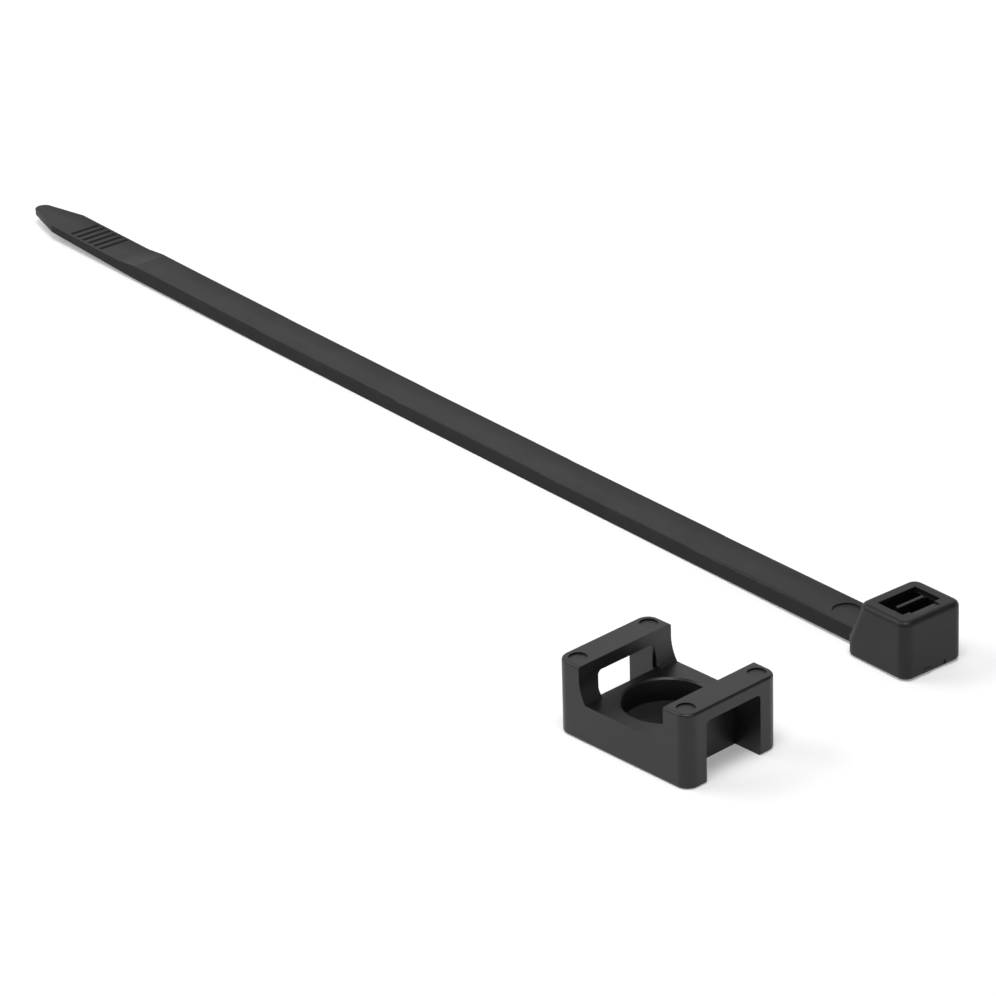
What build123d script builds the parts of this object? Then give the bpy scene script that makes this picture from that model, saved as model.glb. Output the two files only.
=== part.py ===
from build123d import *
import math
import os

# Frame: millimetres, +Z up, X along the screw mount, Y away from the camera.
# The origin is the axis of the mount's screw hole where it meets the surface.

# Screw mount: one moulding
MOUNT_LENGTH = 15.0
MOUNT_WIDTH = 10.6
MOUNT_HEIGHT = 6.8
FLOOR_HEIGHT = 3.5
POST_LENGTH = 2.7
BAR_THICKNESS = 1.15
STRAP_WINDOW_WIDTH = 6.2
SHUT_OFF_STEP = 0.2
OUTER_CORNER_RADIUS = 1.2
TOP_EDGE_RADIUS = 0.25
BASE_EDGE_RADIUS = 0.25
WINDOW_CORNER_RADIUS = 0.4
SCREW_HOLE_DIAMETER = 4.2
SCREW_HEAD_DIAMETER = 7.6
LEDGE_THICKNESS = 1.4
RECESS_EDGE_BREAK = 0.15
FOOT_REACH = 0.68
FOOT_SIDE_STEP = 0.25
SMALL_FOOT_RADIUS = 0.4
MOUNT_MARK_DIAMETER = 1.6
MOUNT_MARK_DEPTH = 0.12
MOUNT_MARK_SIDE_INSET = 1.25

# Cable tie: one moulding, with its pawl on a living hinge
TIE_LENGTH = 130.0
STRAP_WIDTH = 3.9
STRAP_THICKNESS = 1.4
STRAP_RISE = 0.3
STRAP_BOW_RADIUS = 4600.0
STRAP_EDGE_RADIUS = 0.12
HEAD_LENGTH = 7.3
HEAD_TOP_LENGTH = 5.65
HEAD_WIDTH = 6.7
HEAD_HEIGHT = 5.4
HEAD_CORNER_RADIUS = 0.95
HEAD_TOP_RADIUS = 0.5
HEAD_BOTTOM_RADIUS = 0.35
END_WALL = 1.55
PASSAGE_CLEARANCE = 0.075
PASSAGE_SIDE_CLEARANCE = 0.1
RIM_STEP_DEPTH = 0.38
RIM_STEP_SIDE = 0.12
LEAD_NOTCH_WIDTH = 2.9
LEAD_NOTCH_LENGTH = 0.9
LEAD_NOTCH_DEPTH = 0.2
PAWL_TRACK_CLEARANCE = 0.15
PAWL_SIDE_GAP = 0.1
PAWL_RUNNING_CLEARANCE = 0.03
PAWL_TIP_THICKNESS = 0.34
PAWL_RELIEF = 1.34
PAWL_HINGE_HEIGHT = 1.5
PAWL_HINGE_THICKNESS = 0.5
PAWL_TIP_DROP = 0.05
PAWL_TIP_LEAN = 0.12
PAWL_TOOTH_ROOT = 0.2
PAWL_TOOTH_COUNT = 2
PAWL_TOOTH_HEIGHT = 0.28
PAWL_TOOTH_SLANT = 0.8
PAWL_UNDERCUT = 0.25
HINGE_SHELF = 1.0
ENTRY_FLARE = 0.3
TOOTH_PITCH = 0.95
TOOTH_DEPTH = 0.4
TOOTH_RECESS = 0.08
SIDE_RAIL_WIDTH = 0.3
TEETH_START = 14.0
TAIL_LENGTH = 16.2
TAIL_RAMP_LENGTH = 2.8
TAIL_STEP = 0.3
TAIL_TIP_THICKNESS = 0.55
POINT_LENGTH = 5.0
NOSE_RADIUS = 0.9
GRIP_GROOVE_COUNT = 6
GRIP_GROOVE_PITCH = 0.97
GRIP_GROOVE_WIDTH = 0.45
GRIP_GROOVE_DEPTH = 0.16
GRIP_GROOVE_MARGIN = 0.3
GRIP_START_FROM_TIP = 8.0
PIN_MARK_DIAMETER = 2.5
PIN_MARK_DEPTH = 0.1
PIN_MARK_FROM_HEAD = 3.4
GATE_SCAR_WIDTH = 2.6
GATE_SCAR_HEIGHT = 0.6
GATE_SCAR_DEPTH = 0.12
GATE_STUB_WIDTH = 0.9
GATE_STUB_HEIGHT = 0.35

# Where the tie lies beside the mount
TIE_HEAD_X = 8.0
TIE_HEAD_Y = 23.4
TIE_YAW = -3.85

# Allowance by which a cutting shape runs past the face it opens
PAST = 1.0


def block(x0, x1, y0, y1, z0, z1):
    """A plain block between two opposite corners."""
    return Pos((x0 + x1) / 2, (y0 + y1) / 2, (z0 + z1) / 2) * Box(x1 - x0, y1 - y0, z1 - z0)


def side_prism(points, y0, y1):
    """A side-view outline of (x, z) points, drawn out along Y."""
    outline = make_face(Polyline(*[(x, 0, z) for x, z in points], close=True))
    return extrude(Pos(0, y0, 0) * outline, y1 - y0, dir=(0, 1, 0))


def bent(x, z):
    """Where a point (x, z) of a straight strap lies once the strap has its bow."""
    turn = (-HEAD_LENGTH - x) / STRAP_BOW_RADIUS
    reach = STRAP_BOW_RADIUS + STRAP_RISE - z
    return -HEAD_LENGTH - reach * math.sin(turn), STRAP_RISE + STRAP_BOW_RADIUS - reach * math.cos(turn)


def strap_prism(points, y0, y1):
    """A side-view outline of (x, z) points on the straight strap, bent with it and drawn out along Y."""
    return side_prism([bent(x, z) for x, z in points], y0, y1)


def build_screw_mount():
    """Saddle with a bar and a strap window at each end and a screw hole in its floor."""
    half_length = MOUNT_LENGTH / 2
    half_width = MOUNT_WIDTH / 2
    post_face = half_length - POST_LENGTH
    window_half = STRAP_WINDOW_WIDTH / 2

    plan = RectangleRounded(MOUNT_LENGTH, MOUNT_WIDTH, OUTER_CORNER_RADIUS)
    body = extrude(plan, MOUNT_HEIGHT)
    body = fillet(body.faces().sort_by(Axis.Z)[-1].edges(), TOP_EDGE_RADIUS)
    body = fillet(body.faces().sort_by(Axis.Z)[0].edges(), BASE_EDGE_RADIUS)

    # Cradle: a flat-bottomed channel that runs across, between the end posts
    body -= block(-post_face, post_face, -half_width - PAST, half_width + PAST,
                  FLOOR_HEIGHT, MOUNT_HEIGHT + PAST)

    # Curved feet of the two posts at the tail end, and small fillets at the other end
    wall_inner = window_half + FOOT_SIDE_STEP
    opening_top = MOUNT_HEIGHT - BAR_THICKNESS
    drop = opening_top - FLOOR_HEIGHT
    sweep_radius = (FOOT_REACH ** 2 + drop ** 2) / (2 * FOOT_REACH)
    half_turn = math.asin(drop / sweep_radius) / 2
    start = (-post_face, 0, opening_top)
    middle = (-post_face + sweep_radius * (1 - math.cos(half_turn)), 0,
              opening_top - sweep_radius * math.sin(half_turn))
    toe = (-post_face + FOOT_REACH, 0, FLOOR_HEIGHT)
    heel = (-post_face, 0, FLOOR_HEIGHT - PAST)
    buried_toe = (-post_face + FOOT_REACH, 0, FLOOR_HEIGHT - PAST)
    foot = make_face([ThreePointArc(start, middle, toe), Line(toe, buried_toe), Line(buried_toe, heel),
                      Line(heel, start)])
    for side in (-1, 1):
        low, high = sorted((side * wall_inner, side * half_width))
        body += extrude(Pos(0, low, 0) * foot, high - low, dir=(0, 1, 0))
        corner = block(post_face - SMALL_FOOT_RADIUS, post_face, low, high,
                       FLOOR_HEIGHT, FLOOR_HEIGHT + SMALL_FOOT_RADIUS)
        hollow = Pos(post_face - SMALL_FOOT_RADIUS, (low + high) / 2, FLOOR_HEIGHT + SMALL_FOOT_RADIUS)
        corner -= hollow * Rot(90, 0, 0) * Cylinder(SMALL_FOOT_RADIUS, high - low + PAST)
        body += corner

    # Strap windows under the bars, open down to the surface
    opening = Plane.YZ * Pos(0, (opening_top - PAST) / 2) * Rectangle(STRAP_WINDOW_WIDTH, opening_top + PAST)
    opening = fillet(opening.vertices().sort_by(Axis.Z)[-2:], WINDOW_CORNER_RADIUS)
    reach = POST_LENGTH + SHUT_OFF_STEP + PAST
    window = extrude(opening, reach)
    body -= Pos(post_face - SHUT_OFF_STEP, 0, 0) * window
    body -= Pos(-half_length - PAST, 0, 0) * window

    # Screw hole with the deep recess for the screw's head
    body -= Cylinder(SCREW_HOLE_DIAMETER / 2, 2 * MOUNT_HEIGHT)
    recess_depth = FLOOR_HEIGHT - LEDGE_THICKNESS
    recess = Pos(0, 0, LEDGE_THICKNESS) * Cylinder(
        SCREW_HEAD_DIAMETER / 2, recess_depth + PAST, align=(Align.CENTER, Align.CENTER, Align.MIN))
    flare = Pos(0, 0, FLOOR_HEIGHT - RECESS_EDGE_BREAK) * Cone(
        SCREW_HEAD_DIAMETER / 2, SCREW_HEAD_DIAMETER / 2 + 2 * RECESS_EDGE_BREAK, 2 * RECESS_EDGE_BREAK,
        align=(Align.CENTER, Align.CENTER, Align.MIN))
    body -= recess + flare

    # Round ejector marks in the tops of the four posts
    mark = Cylinder(MOUNT_MARK_DIAMETER / 2, 2 * MOUNT_MARK_DEPTH)
    for side_x in (-1, 1):
        for side_y in (-1, 1):
            body -= Pos(side_x * (half_length - POST_LENGTH / 2),
                        side_y * (half_width - MOUNT_MARK_SIDE_INSET), MOUNT_HEIGHT) * mark
    return body


def build_head():
    """Rounded box with the strap's passage and the pawl in it."""
    half_width = HEAD_WIDTH / 2
    strap_top = STRAP_RISE + STRAP_THICKNESS
    profile = [(0, 0), (0, HEAD_HEIGHT), (-HEAD_TOP_LENGTH, HEAD_HEIGHT), (-HEAD_LENGTH, strap_top),
               (-HEAD_LENGTH, 0)]
    head = side_prism(profile, -half_width, half_width)
    upright = [e for e in head.edges() if abs(e.tangent_at(0.5).Y) < 0.1 and abs(e.tangent_at(0.5).Z) > 0.5]
    head = fillet(upright, HEAD_CORNER_RADIUS)
    head = fillet(head.faces().sort_by(Axis.Z)[-1].edges(), HEAD_TOP_RADIUS)
    head = fillet(head.faces().sort_by(Axis.Z)[0].edges(), HEAD_BOTTOM_RADIUS)

    # Passage for the strap, through the head from below
    wall = -END_WALL
    passage_back = wall - STRAP_THICKNESS - PASSAGE_CLEARANCE
    pawl_face = wall - STRAP_THICKNESS + TOOTH_RECESS - PAWL_RUNNING_CLEARANCE
    pawl_back = pawl_face - PAWL_TIP_THICKNESS
    relief = pawl_back - PAWL_RELIEF
    passage_half = STRAP_WIDTH / 2 + PASSAGE_SIDE_CLEARANCE
    pawl_half = STRAP_WIDTH / 2 - SIDE_RAIL_WIDTH - PAWL_TRACK_CLEARANCE
    guide_half = pawl_half + PAWL_SIDE_GAP
    rim_half = passage_half + RIM_STEP_SIDE
    top = HEAD_HEIGHT + PAST
    head -= block(passage_back, wall, -passage_half, passage_half, -PAST, top)
    head -= block(relief, wall, -rim_half, rim_half, HEAD_HEIGHT - RIM_STEP_DEPTH, top)

    # Chamber of the pawl, with a guide rib at each end of the pawl, and the entry under it
    chamber_floor = PAWL_HINGE_HEIGHT - PAWL_UNDERCUT
    head -= block(relief, pawl_back, -passage_half, passage_half, chamber_floor, top)
    head -= block(pawl_back - PAST / 2, wall, -guide_half, guide_half, chamber_floor, top)
    entry_back = relief + HINGE_SHELF
    entry = [(entry_back - ENTRY_FLARE, -PAST), (entry_back - ENTRY_FLARE, 0), (entry_back, ENTRY_FLARE),
             (entry_back, PAWL_HINGE_HEIGHT), (wall, PAWL_HINGE_HEIGHT), (wall, ENTRY_FLARE),
             (wall + ENTRY_FLARE, 0), (wall + ENTRY_FLARE, -PAST)]
    head -= side_prism(entry, -guide_half, guide_half)

    # Sloping notch in the top of the end wall that guides the strap out
    notch_floor = HEAD_HEIGHT - LEAD_NOTCH_DEPTH
    notch = [(wall - PAST, notch_floor), (wall, notch_floor), (wall + LEAD_NOTCH_LENGTH, HEAD_HEIGHT),
             (wall + LEAD_NOTCH_LENGTH, top), (wall - PAST, top)]
    head -= side_prism(notch, -LEAD_NOTCH_WIDTH / 2, LEAD_NOTCH_WIDTH / 2)

    # Pawl: hinge at the strap's side, blade up beside the passage, teeth towards the strap
    tip = HEAD_HEIGHT - PAWL_TIP_DROP
    hinge_top = PAWL_HINGE_HEIGHT + PAWL_HINGE_THICKNESS
    teeth_low = hinge_top + PAWL_TOOTH_ROOT
    front = [(pawl_back, PAWL_HINGE_HEIGHT + PAWL_UNDERCUT), (pawl_face, teeth_low)]
    for number in range(PAWL_TOOTH_COUNT):
        level = teeth_low + number * TOOTH_PITCH
        front.append((pawl_face + PAWL_TOOTH_HEIGHT, level + TOOTH_PITCH * PAWL_TOOTH_SLANT))
        front.append((pawl_face, level + TOOTH_PITCH))
    blade = [(relief - PAWL_UNDERCUT, PAWL_HINGE_HEIGHT)] + front
    blade += [(pawl_face + PAWL_TIP_LEAN, tip), (pawl_back + PAWL_TIP_LEAN, tip),
              (pawl_back - PAWL_UNDERCUT / 2, teeth_low + PAWL_UNDERCUT),
              (relief + PAWL_UNDERCUT, hinge_top), (relief - PAWL_UNDERCUT, hinge_top)]
    head += side_prism(blade, -pawl_half, pawl_half)

    # Scar of the mould's gate, low on the end wall, with a stub at its near end
    scar_half = GATE_SCAR_WIDTH / 2
    head -= block(-GATE_SCAR_DEPTH, PAST, -scar_half, scar_half, -PAST, GATE_SCAR_HEIGHT)
    head += block(-END_WALL / 2, 0, -scar_half, -scar_half + GATE_STUB_WIDTH,
                  HEAD_BOTTOM_RADIUS / 2, GATE_STUB_HEIGHT + HEAD_BOTTOM_RADIUS / 2)
    return head, relief


def build_strap(root_length):
    """Smooth-topped, slightly bowed strap with teeth underneath and a thin, grooved, pointed tail."""
    half_width = STRAP_WIDTH / 2
    underside = STRAP_RISE
    upper = STRAP_RISE + STRAP_THICKNESS

    section = Plane.YZ * Pos(0, (underside + upper) / 2) * Rectangle(STRAP_WIDTH, STRAP_THICKNESS)
    section = Pos(-HEAD_LENGTH, 0, 0) * fillet(section.vertices().sort_by(Axis.Z)[-2:], STRAP_EDGE_RADIUS)
    bow_axis = Axis((-HEAD_LENGTH, 0, underside + STRAP_BOW_RADIUS), (0, 1, 0))
    bow_angle = math.degrees((TIE_LENGTH - HEAD_LENGTH + PAST) / STRAP_BOW_RADIUS)
    strap = revolve(section, bow_axis, bow_angle) + extrude(section, root_length, dir=(1, 0, 0))

    # Pointed end, seen from above: straight sides that run into a round nose
    root_x = -HEAD_LENGTH + root_length
    tip_x = bent(-TIE_LENGTH, underside)[0]
    shoulder = tip_x + POINT_LENGTH
    nose_x = tip_x + NOSE_RADIUS
    tilt = math.asin((half_width - NOSE_RADIUS) / math.hypot(shoulder - nose_x, half_width))
    touch_x = nose_x - NOSE_RADIUS * math.sin(tilt)
    touch_y = NOSE_RADIUS * math.cos(tilt)
    plan = make_face([Line((root_x, -half_width), (shoulder, -half_width)),
                      Line((shoulder, -half_width), (touch_x, -touch_y)),
                      ThreePointArc((touch_x, -touch_y), (tip_x, 0), (touch_x, touch_y)),
                      Line((touch_x, touch_y), (shoulder, half_width)),
                      Line((shoulder, half_width), (root_x, half_width)),
                      Line((root_x, half_width), (root_x, -half_width))])
    strap = strap & extrude(plan, bent(-TIE_LENGTH, upper)[1] + PAST)

    # Thinner tail: a step down on top, and an underside that rises towards the tip
    tail_end = -TIE_LENGTH - 2 * PAST
    ramp_foot = -TIE_LENGTH + TAIL_LENGTH
    ramp_head = ramp_foot + TAIL_RAMP_LENGTH
    tail_top = upper - TAIL_STEP
    strap -= strap_prism([(tail_end, tail_top), (ramp_foot, tail_top), (ramp_head, upper),
                          (ramp_head, upper + PAST), (tail_end, upper + PAST)],
                         -half_width - PAST, half_width + PAST)
    rise = tail_top - TAIL_TIP_THICKNESS
    strap -= strap_prism([(-TIE_LENGTH, rise), (ramp_head, underside), (ramp_head, -PAST),
                          (tail_end, -PAST), (tail_end, rise)],
                         -half_width - PAST, half_width + PAST)

    # Grip grooves across the tail; each cut starts above the tail's top, so that the groove is open
    groove_half = half_width - GRIP_GROOVE_MARGIN
    for number in range(GRIP_GROOVE_COUNT):
        centre = -TIE_LENGTH + GRIP_START_FROM_TIP + number * GRIP_GROOVE_PITCH
        near = centre + GRIP_GROOVE_WIDTH / 2
        far = centre - GRIP_GROOVE_WIDTH / 2
        strap -= strap_prism([(far, tail_top + PAST), (far, tail_top), (centre, tail_top - GRIP_GROOVE_DEPTH),
                              (near, tail_top), (near, tail_top + PAST)], -groove_half, groove_half)

    # Teeth between two side rails; their steep faces look towards the head
    crest = underside + TOOTH_RECESS
    teeth_length = TIE_LENGTH - TAIL_LENGTH - TAIL_RAMP_LENGTH - TEETH_START
    count = int(teeth_length / TOOTH_PITCH)
    outline = [(-TEETH_START, -PAST), (-TEETH_START, crest)]
    for number in range(count):
        foot = -TEETH_START - (number + 1) * TOOTH_PITCH
        outline.append((foot, crest + TOOTH_DEPTH))
        outline.append((foot, crest))
    outline.append((-TEETH_START - count * TOOTH_PITCH, -PAST))
    rail_inner = half_width - SIDE_RAIL_WIDTH
    strap -= strap_prism(outline, -rail_inner, rail_inner)

    # Round ejector mark on the smooth face beside the head
    mark_x, mark_z = bent(-HEAD_LENGTH - PIN_MARK_FROM_HEAD, upper)
    strap -= Pos(mark_x, 0, mark_z) * Cylinder(PIN_MARK_DIAMETER / 2, 2 * PIN_MARK_DEPTH)
    return strap


def build_cable_tie():
    """Strap and head in one piece, lying on the lower edge of its head and on the bow of its strap."""
    head, relief = build_head()
    tie = head + build_strap((HEAD_LENGTH + relief) / 2)
    pitch = math.degrees(math.acos(STRAP_BOW_RADIUS / (STRAP_BOW_RADIUS + STRAP_RISE)))
    settle = Pos(-HEAD_LENGTH, 0, 0) * Rot(0, -pitch, 0) * Pos(HEAD_LENGTH, 0, 0)
    return Pos(TIE_HEAD_X, TIE_HEAD_Y, 0) * Rot(0, 0, TIE_YAW) * settle * tie


os.makedirs("parts", exist_ok=True)
for name, shape in (("screw_mount", build_screw_mount()), ("cable_tie", build_cable_tie())):
    solid = shape.solids()[0] if len(shape.solids()) == 1 else shape
    export_step(solid, os.path.join("parts", name + ".step"))
    box = shape.bounding_box()
    print(name, "solids", len(shape.solids()), "volume", round(shape.volume, 2),
          "min", [round(v, 3) for v in box.min], "max", [round(v, 3) for v in box.max])
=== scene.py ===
import math
import bmesh
import bpy
from mathutils import Matrix, Vector


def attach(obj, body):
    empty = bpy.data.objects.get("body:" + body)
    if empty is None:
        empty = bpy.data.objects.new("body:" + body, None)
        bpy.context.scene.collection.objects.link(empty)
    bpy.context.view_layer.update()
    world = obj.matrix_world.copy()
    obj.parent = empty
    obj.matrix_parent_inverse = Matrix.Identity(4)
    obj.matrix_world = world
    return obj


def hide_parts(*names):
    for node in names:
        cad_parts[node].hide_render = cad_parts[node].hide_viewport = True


MM = 0.001

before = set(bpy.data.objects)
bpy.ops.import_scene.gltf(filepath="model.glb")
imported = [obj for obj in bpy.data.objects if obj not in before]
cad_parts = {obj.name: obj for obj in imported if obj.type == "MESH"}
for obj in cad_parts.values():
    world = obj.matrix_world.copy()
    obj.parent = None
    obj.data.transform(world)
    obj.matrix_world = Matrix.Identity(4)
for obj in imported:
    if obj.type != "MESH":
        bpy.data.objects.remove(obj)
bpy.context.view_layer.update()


# Camera
# A long lens from the head's end of the tie, high enough to look down on both mouldings.
# It stands where the mount's edges and corners in the photo place it.
AIM_POINT = Vector((-42.0 * MM, 20.66 * MM, 0.0))
CAMERA_DISTANCE = 447.5 * MM
CAMERA_AZIMUTH = math.radians(47.38)
CAMERA_ELEVATION = math.radians(26.4)
CAMERA_ROLL = math.radians(1.75)
FOCAL_LENGTH_PIXELS = 5000.0
FRAME_PIXELS = 996.0
SENSOR_WIDTH = 36.0
NEAREST_SEEN = 10.0 * MM
FARTHEST_SEEN = 10.0


def add_camera():
    """Camera on a sphere round the aim point, turned about its own axis by the roll."""
    outward = Vector((math.sin(CAMERA_AZIMUTH) * math.cos(CAMERA_ELEVATION),
                      -math.cos(CAMERA_AZIMUTH) * math.cos(CAMERA_ELEVATION),
                      math.sin(CAMERA_ELEVATION)))
    level_right = Vector((0.0, 0.0, 1.0)).cross(outward).normalized()
    level_up = outward.cross(level_right)
    right = math.cos(CAMERA_ROLL) * level_right - math.sin(CAMERA_ROLL) * level_up
    up = outward.cross(right)
    turn = Matrix((right, up, outward)).transposed().to_4x4()
    data = bpy.data.cameras.new("camera")
    data.sensor_width = SENSOR_WIDTH
    data.lens = FOCAL_LENGTH_PIXELS / FRAME_PIXELS * SENSOR_WIDTH
    data.clip_start = NEAREST_SEEN
    data.clip_end = FARTHEST_SEEN
    camera = bpy.data.objects.new("camera", data)
    camera.matrix_world = Matrix.Translation(AIM_POINT + CAMERA_DISTANCE * outward) @ turn
    bpy.context.scene.collection.objects.link(camera)
    bpy.context.scene.camera = camera


add_camera()
bpy.context.scene.view_settings.view_transform = "Standard"


# Floor and background
# A plain white sweep: a level sheet of card under the mouldings, and white low all round them.
# The room above it is dim, so that the black nylon mirrors the card and not the ceiling.
FLOOR_HALF_WIDTH = 1500.0 * MM
FLOOR_DROP = 0.01 * MM
CARD_COLOUR = (0.80, 0.80, 0.80, 1.0)
CARD_GLOW = 0.26
SWEEP_WHITE = 1.0
SWEEP_TOP = math.sin(math.radians(9.0))
ROOM_BOTTOM = math.sin(math.radians(17.0))
ROOM_LIGHT = 0.10


class Formula:
    """A shader socket that can be used in arithmetic: each operator adds one Math node."""

    def __init__(self, nodes, socket):
        self.nodes = nodes
        self.socket = socket

    def _combine(self, operation, first, second):
        return self.nodes.add("ShaderNodeMath", {"operation": operation}, [first, second])[0]

    def __add__(self, other):
        return self._combine("ADD", self, other)

    def __mul__(self, other):
        return self._combine("MULTIPLY", self, other)

    def at_most(self, other):
        return self._combine("MINIMUM", self, other)

    __radd__ = __add__
    __rmul__ = __mul__


class ShaderNodes:
    """The node tree of one material or world, filled through a single method."""

    def __init__(self, tree):
        self.tree = tree
        self.tree.nodes.clear()

    def add(self, kind, settings, inputs):
        """Adds one node: its settings first, then a value or a link for each named or numbered socket."""
        node = self.tree.nodes.new(kind)
        for key, value in settings.items():
            setattr(node, key, value)
        pairs = inputs.items() if isinstance(inputs, dict) else enumerate(inputs)
        for key, value in pairs:
            if isinstance(value, Formula):
                self.tree.links.new(value.socket, node.inputs[key])
            else:
                node.inputs[key].default_value = value
        return [Formula(self, socket) for socket in node.outputs]


def light_path_mask(nodes):
    """One for camera, glossy and transmission rays, and zero for the light that falls on the object."""
    names = ("Is Camera Ray", "Is Glossy Ray", "Is Transmission Ray")
    outputs = nodes.add("ShaderNodeLightPath", {}, {})
    picked = [output for output in outputs if output.socket.name in names]
    return (picked[0] + picked[1] + picked[2]).at_most(1.0)


def add_floor():
    """Level square sheet just under the mouldings."""
    w = FLOOR_HALF_WIDTH
    mesh = bpy.data.meshes.new("floor")
    corners = [(-w, -w, -FLOOR_DROP), (w, -w, -FLOOR_DROP), (w, w, -FLOOR_DROP), (-w, w, -FLOOR_DROP)]
    mesh.from_pydata(corners, [], [(0, 1, 2, 3)])
    floor = bpy.data.objects.new("floor", mesh)
    bpy.context.scene.collection.objects.link(floor)
    card = bpy.data.materials.new("white_card")
    card.use_nodes = True
    nodes = ShaderNodes(card.node_tree)
    seen = light_path_mask(nodes)
    diffuse = nodes.add("ShaderNodeBsdfDiffuse", {}, {"Color": CARD_COLOUR})[0]
    glow = nodes.add("ShaderNodeEmission", {}, {"Color": (1.0, 1.0, 1.0, 1.0), "Strength": seen * CARD_GLOW})[0]
    both = nodes.add("ShaderNodeAddShader", {}, [diffuse, glow])[0]
    nodes.add("ShaderNodeOutputMaterial", {}, {"Surface": both})
    mesh.materials.append(card)


def add_background():
    """White up to the top of the sweep, and above it a soft change to the dim room."""
    world = bpy.data.worlds.new("studio")
    world.use_nodes = True
    nodes = ShaderNodes(world.node_tree)
    towards = nodes.add("ShaderNodeTexCoord", {}, {})[0]
    height = nodes.add("ShaderNodeSeparateXYZ", {}, [towards])[2]
    strength = nodes.add("ShaderNodeMapRange", {"interpolation_type": "SMOOTHSTEP"},
                         {"Value": height, "From Min": SWEEP_TOP, "From Max": ROOM_BOTTOM,
                          "To Min": SWEEP_WHITE, "To Max": ROOM_LIGHT})[0]
    sky = nodes.add("ShaderNodeBackground", {}, {"Color": (1.0, 1.0, 1.0, 1.0), "Strength": strength})[0]
    nodes.add("ShaderNodeOutputWorld", {}, {"Surface": sky})
    bpy.context.scene.world = world


add_floor()
add_background()


# Lamps
# A wide soft box low behind the mouldings is what their level tops mirror.
# One at the left puts the bright line on their top edges, and one over the camera gives the plain level.
SUBJECT = Vector((-30.0 * MM, 15.0 * MM, 0.0))


def add_soft_box(name, azimuth, elevation, distance, width, height, power):
    """Square-on area lamp on a sphere round the mouldings; the angles are in degrees."""
    a = math.radians(azimuth)
    e = math.radians(elevation)
    outward = Vector((math.sin(a) * math.cos(e), -math.cos(a) * math.cos(e), math.sin(e)))
    data = bpy.data.lights.new(name, "AREA")
    data.shape = "RECTANGLE"
    data.size = width
    data.size_y = height
    data.energy = power
    lamp = bpy.data.objects.new(name, data)
    lamp.rotation_mode = "QUATERNION"
    lamp.rotation_quaternion = outward.to_track_quat("Z", "Y")
    lamp.location = SUBJECT + distance * outward
    bpy.context.scene.collection.objects.link(lamp)


add_soft_box("back_box", azimuth=227.0, elevation=32.0, distance=0.9, width=1.2, height=0.7, power=2.1)
add_soft_box("left_box", azimuth=304.0, elevation=40.0, distance=0.9, width=0.55, height=0.5, power=3.2)
add_soft_box("top_box", azimuth=47.0, elevation=75.0, distance=0.9, width=0.4, height=0.4, power=5.0)


# Screw mount
# One injection moulding in black nylon: a saddle with strap windows and a recessed screw hole.
# The die's finish is a fine even grain, and its edges are broken by about a tenth of a millimetre.
MOUNT_EDGE_BREAK = 0.09 * MM
MOUNT_COLOUR = (0.004, 0.004, 0.0042)
MOUNT_ROUGHNESS = 0.40
MOUNT_REFLECTION = 0.42
MOUNT_STREAK_STRETCH = (0.5, 1.0, 0.7)
NYLON_IOR = 1.53

GRAIN_SIZE = 0.16 * MM
GRAIN_DEPTH = 0.008 * MM
GRAIN_STRENGTH = 0.55
GRAIN_DETAIL = 2.0
STREAKS_PER_METRE = 900.0
STREAK_DETAIL = 3.0
PATCHES_PER_METRE = 260.0
PATCH_DETAIL = 2.0

DARKEST_SHADE = 0.80
SHADE_BY_STREAKS = 0.25
SHADE_BY_GRAIN = 0.15
SHEEN_LOWERED = 0.08
SHEEN_BY_PATCHES = 0.10
SHEEN_BY_STREAKS = 0.06
BUMP_BY_STREAKS = 0.6

RECESS_OUTSIDE_RADIUS = 3.9 * MM
RECESS_INSIDE_RADIUS = 3.75 * MM
RECESS_TOP = 3.4 * MM
RECESS_BELOW_TOP = 3.1 * MM
RECESS_DULLNESS = 0.3

SMOOTH_ANGLE = math.radians(42.0)
MERGE_DISTANCE = 0.0005 * MM
FLAT_ANGLE = math.radians(0.05)


def flat_patch_areas(work):
    """Area of the whole flat patch that each face belongs to."""
    areas = {}
    for face in work.faces:
        if face in areas:
            continue
        patch = {face}
        border = [face]
        while border:
            for edge in border.pop().edges:
                for other in edge.link_faces:
                    if other not in patch and other.normal.angle(face.normal, math.pi) < FLAT_ANGLE:
                        patch.add(other)
                        border.append(other)
        total = sum(member.calc_area() for member in patch)
        areas.update((member, total) for member in patch)
    return areas


def corner_normals(mesh):
    """A normal for each corner, led by the widest flat patch that meets it, so that flat faces shade flat."""
    work = bmesh.new()
    work.from_mesh(mesh)
    areas = flat_patch_areas(work)
    normals = []
    for face in work.faces:
        for vertex in face.verts:
            smooth = [other for other in vertex.link_faces
                      if other.normal.angle(face.normal, math.pi) < SMOOTH_ANGLE]
            total = sum((areas[other] * other.normal for other in smooth), Vector())
            normals.append(total.normalized() if smooth else face.normal.copy())
    work.free()
    return normals


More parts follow.
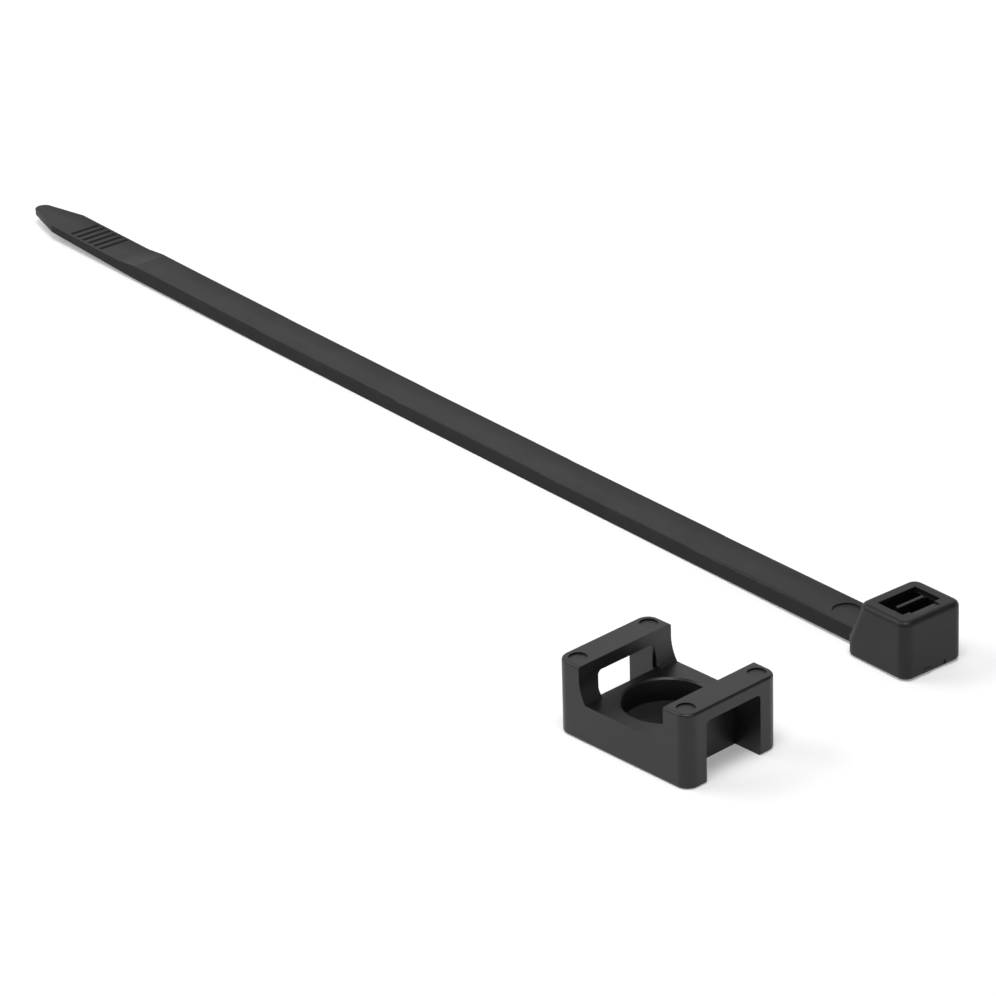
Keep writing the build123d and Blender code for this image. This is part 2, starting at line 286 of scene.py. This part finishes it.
def moulded_copy(node_name, piece_name, edge_break):
    """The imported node's own shape with its triangles merged, its edges broken and its curves smooth."""
    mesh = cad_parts[node_name].data.copy()
    mesh.name = piece_name
    work = bmesh.new()
    work.from_mesh(mesh)
    bmesh.ops.remove_doubles(work, verts=work.verts, dist=MERGE_DISTANCE)
    bmesh.ops.dissolve_limit(work, angle_limit=FLAT_ANGLE, verts=work.verts, edges=work.edges)
    work.to_mesh(mesh)
    work.free()
    piece = bpy.data.objects.new(piece_name, mesh)
    bpy.context.scene.collection.objects.link(piece)
    bevel = piece.modifiers.new("edge_break", "BEVEL")
    bevel.width = edge_break
    bevel.segments = 2
    bevel.limit_method = "ANGLE"
    bevel.angle_limit = SMOOTH_ANGLE
    bevel.use_clamp_overlap = True
    finished = bpy.data.meshes.new_from_object(piece.evaluated_get(bpy.context.evaluated_depsgraph_get()))
    piece.modifiers.clear()
    piece.data = finished
    finished.shade_smooth()
    finished.normals_split_custom_set(corner_normals(finished))
    return piece


def share_between(nodes, value, start, end):
    """Zero where the value is at the start, rising evenly to one at the end."""
    return nodes.add("ShaderNodeMapRange", {}, {"Value": value, "From Min": start, "From Max": end})[0]


def dull_recess(nodes, where):
    """Extra roughness inside the screw head's recess, fitted to the photo, where the recess is near black."""
    level = nodes.add("ShaderNodeVectorMath", {"operation": "MULTIPLY"}, {0: where, 1: (1.0, 1.0, 0.0)})[0]
    radius = nodes.add("ShaderNodeVectorMath", {"operation": "LENGTH"}, {0: level})[1]
    height = nodes.add("ShaderNodeSeparateXYZ", {}, [where])[2]
    inside = share_between(nodes, radius, RECESS_OUTSIDE_RADIUS, RECESS_INSIDE_RADIUS)
    below = share_between(nodes, height, RECESS_TOP, RECESS_BELOW_TOP)
    return RECESS_DULLNESS * (inside * below)


def black_nylon(name, colour, roughness, reflection, streak_stretch, dull_places):
    """Satin black nylon: a fine grain, faint streaks along the moulding and slightly duller patches."""
    material = bpy.data.materials.new(name)
    material.use_nodes = True
    nodes = ShaderNodes(material.node_tree)
    place = nodes.add("ShaderNodeTexCoord", {}, {})
    where = [output for output in place if output.socket.name == "Object"][0]
    along = nodes.add("ShaderNodeMapping", {}, {"Vector": where, "Scale": streak_stretch})[0]
    grain = nodes.add("ShaderNodeTexNoise", {}, {"Vector": where, "Scale": 1.0 / GRAIN_SIZE,
                                                 "Detail": GRAIN_DETAIL})[0]
    streaks = nodes.add("ShaderNodeTexNoise", {}, {"Vector": along, "Scale": STREAKS_PER_METRE,
                                                   "Detail": STREAK_DETAIL})[0]
    patches = nodes.add("ShaderNodeTexNoise", {}, {"Vector": where, "Scale": PATCHES_PER_METRE,
                                                   "Detail": PATCH_DETAIL})[0]
    shade = DARKEST_SHADE + SHADE_BY_STREAKS * streaks + SHADE_BY_GRAIN * grain
    tint = nodes.add("ShaderNodeVectorMath", {"operation": "SCALE"}, {0: colour, "Scale": shade})[0]
    sheen = (roughness - SHEEN_LOWERED + SHEEN_BY_PATCHES * patches + SHEEN_BY_STREAKS * streaks
             + dull_places(nodes, where))
    bump = nodes.add("ShaderNodeBump", {}, {"Height": grain + BUMP_BY_STREAKS * streaks,
                                            "Strength": GRAIN_STRENGTH, "Distance": GRAIN_DEPTH})[0]
    surface = nodes.add("ShaderNodeBsdfPrincipled", {}, {"Base Color": tint, "Roughness": sheen, "Normal": bump,
                                                         "IOR": NYLON_IOR, "Specular IOR Level": reflection})[0]
    nodes.add("ShaderNodeOutputMaterial", {}, {"Surface": surface})
    return material


mount = moulded_copy("screw_mount", "screw_mount_moulding", MOUNT_EDGE_BREAK)
mount.data.materials.clear()
mount.data.materials.append(black_nylon("satin_mount_nylon", MOUNT_COLOUR, MOUNT_ROUGHNESS, MOUNT_REFLECTION,
                                        MOUNT_STREAK_STRETCH, dull_recess))
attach(mount, "root")
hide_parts("screw_mount")


# Cable tie
# One injection moulding in black nylon: head, pawl on its living hinge, toothed strap and grooved tail.
# Its streaks lie along X, so within four degrees of the strap's length.
TIE_EDGE_BREAK = 0.06 * MM
TIE_COLOUR = (0.004, 0.004, 0.0042)
TIE_ROUGHNESS = 0.50
TIE_REFLECTION = 0.34
TIE_STREAK_STRETCH = (0.12, 1.0, 1.0)

HEAD_END = (8.0 * MM, 23.4 * MM, 0.0)
TIE_TURN = (0.0, 0.0, math.radians(-3.85))
STRAP_FROM_HEAD_END = -7.3 * MM
STRAP_HALF_WIDTH = 1.95 * MM
STRAP_EDGE_RADIUS = 0.12 * MM
SIDE_STARTS = STRAP_HALF_WIDTH - 0.4 * STRAP_EDGE_RADIUS
SIDE_FULL = STRAP_HALF_WIDTH - 0.1 * STRAP_EDGE_RADIUS
SIDE_DULLNESS = 0.25
FAR_EDGE_STARTS = -0.1 * STRAP_HALF_WIDTH
FAR_EDGE_DULLNESS = 0.12
HEAD_BLEND = 0.3 * MM


def dull_strap(nodes, where):
    """Extra roughness on the strap's sides, and less towards the far edge of its top, fitted to the photo."""
    own = nodes.add("ShaderNodeMapping", {"vector_type": "TEXTURE"},
                    {"Vector": where, "Location": HEAD_END, "Rotation": TIE_TURN})[0]
    along, across = nodes.add("ShaderNodeSeparateXYZ", {}, [own])[:2]
    off_centre = nodes.add("ShaderNodeMath", {"operation": "ABSOLUTE"}, [across])[0]
    sides = share_between(nodes, off_centre, SIDE_STARTS, SIDE_FULL)
    far_edge = share_between(nodes, across, FAR_EDGE_STARTS, STRAP_HALF_WIDTH)
    past_head = share_between(nodes, along, STRAP_FROM_HEAD_END, STRAP_FROM_HEAD_END - HEAD_BLEND)
    return past_head * (SIDE_DULLNESS * sides + FAR_EDGE_DULLNESS * far_edge)


tie = moulded_copy("cable_tie", "cable_tie_moulding", TIE_EDGE_BREAK)
tie.data.materials.clear()
tie.data.materials.append(black_nylon("satin_tie_nylon", TIE_COLOUR, TIE_ROUGHNESS, TIE_REFLECTION,
                                      TIE_STREAK_STRETCH, dull_strap))
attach(tie, "root")
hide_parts("cable_tie")
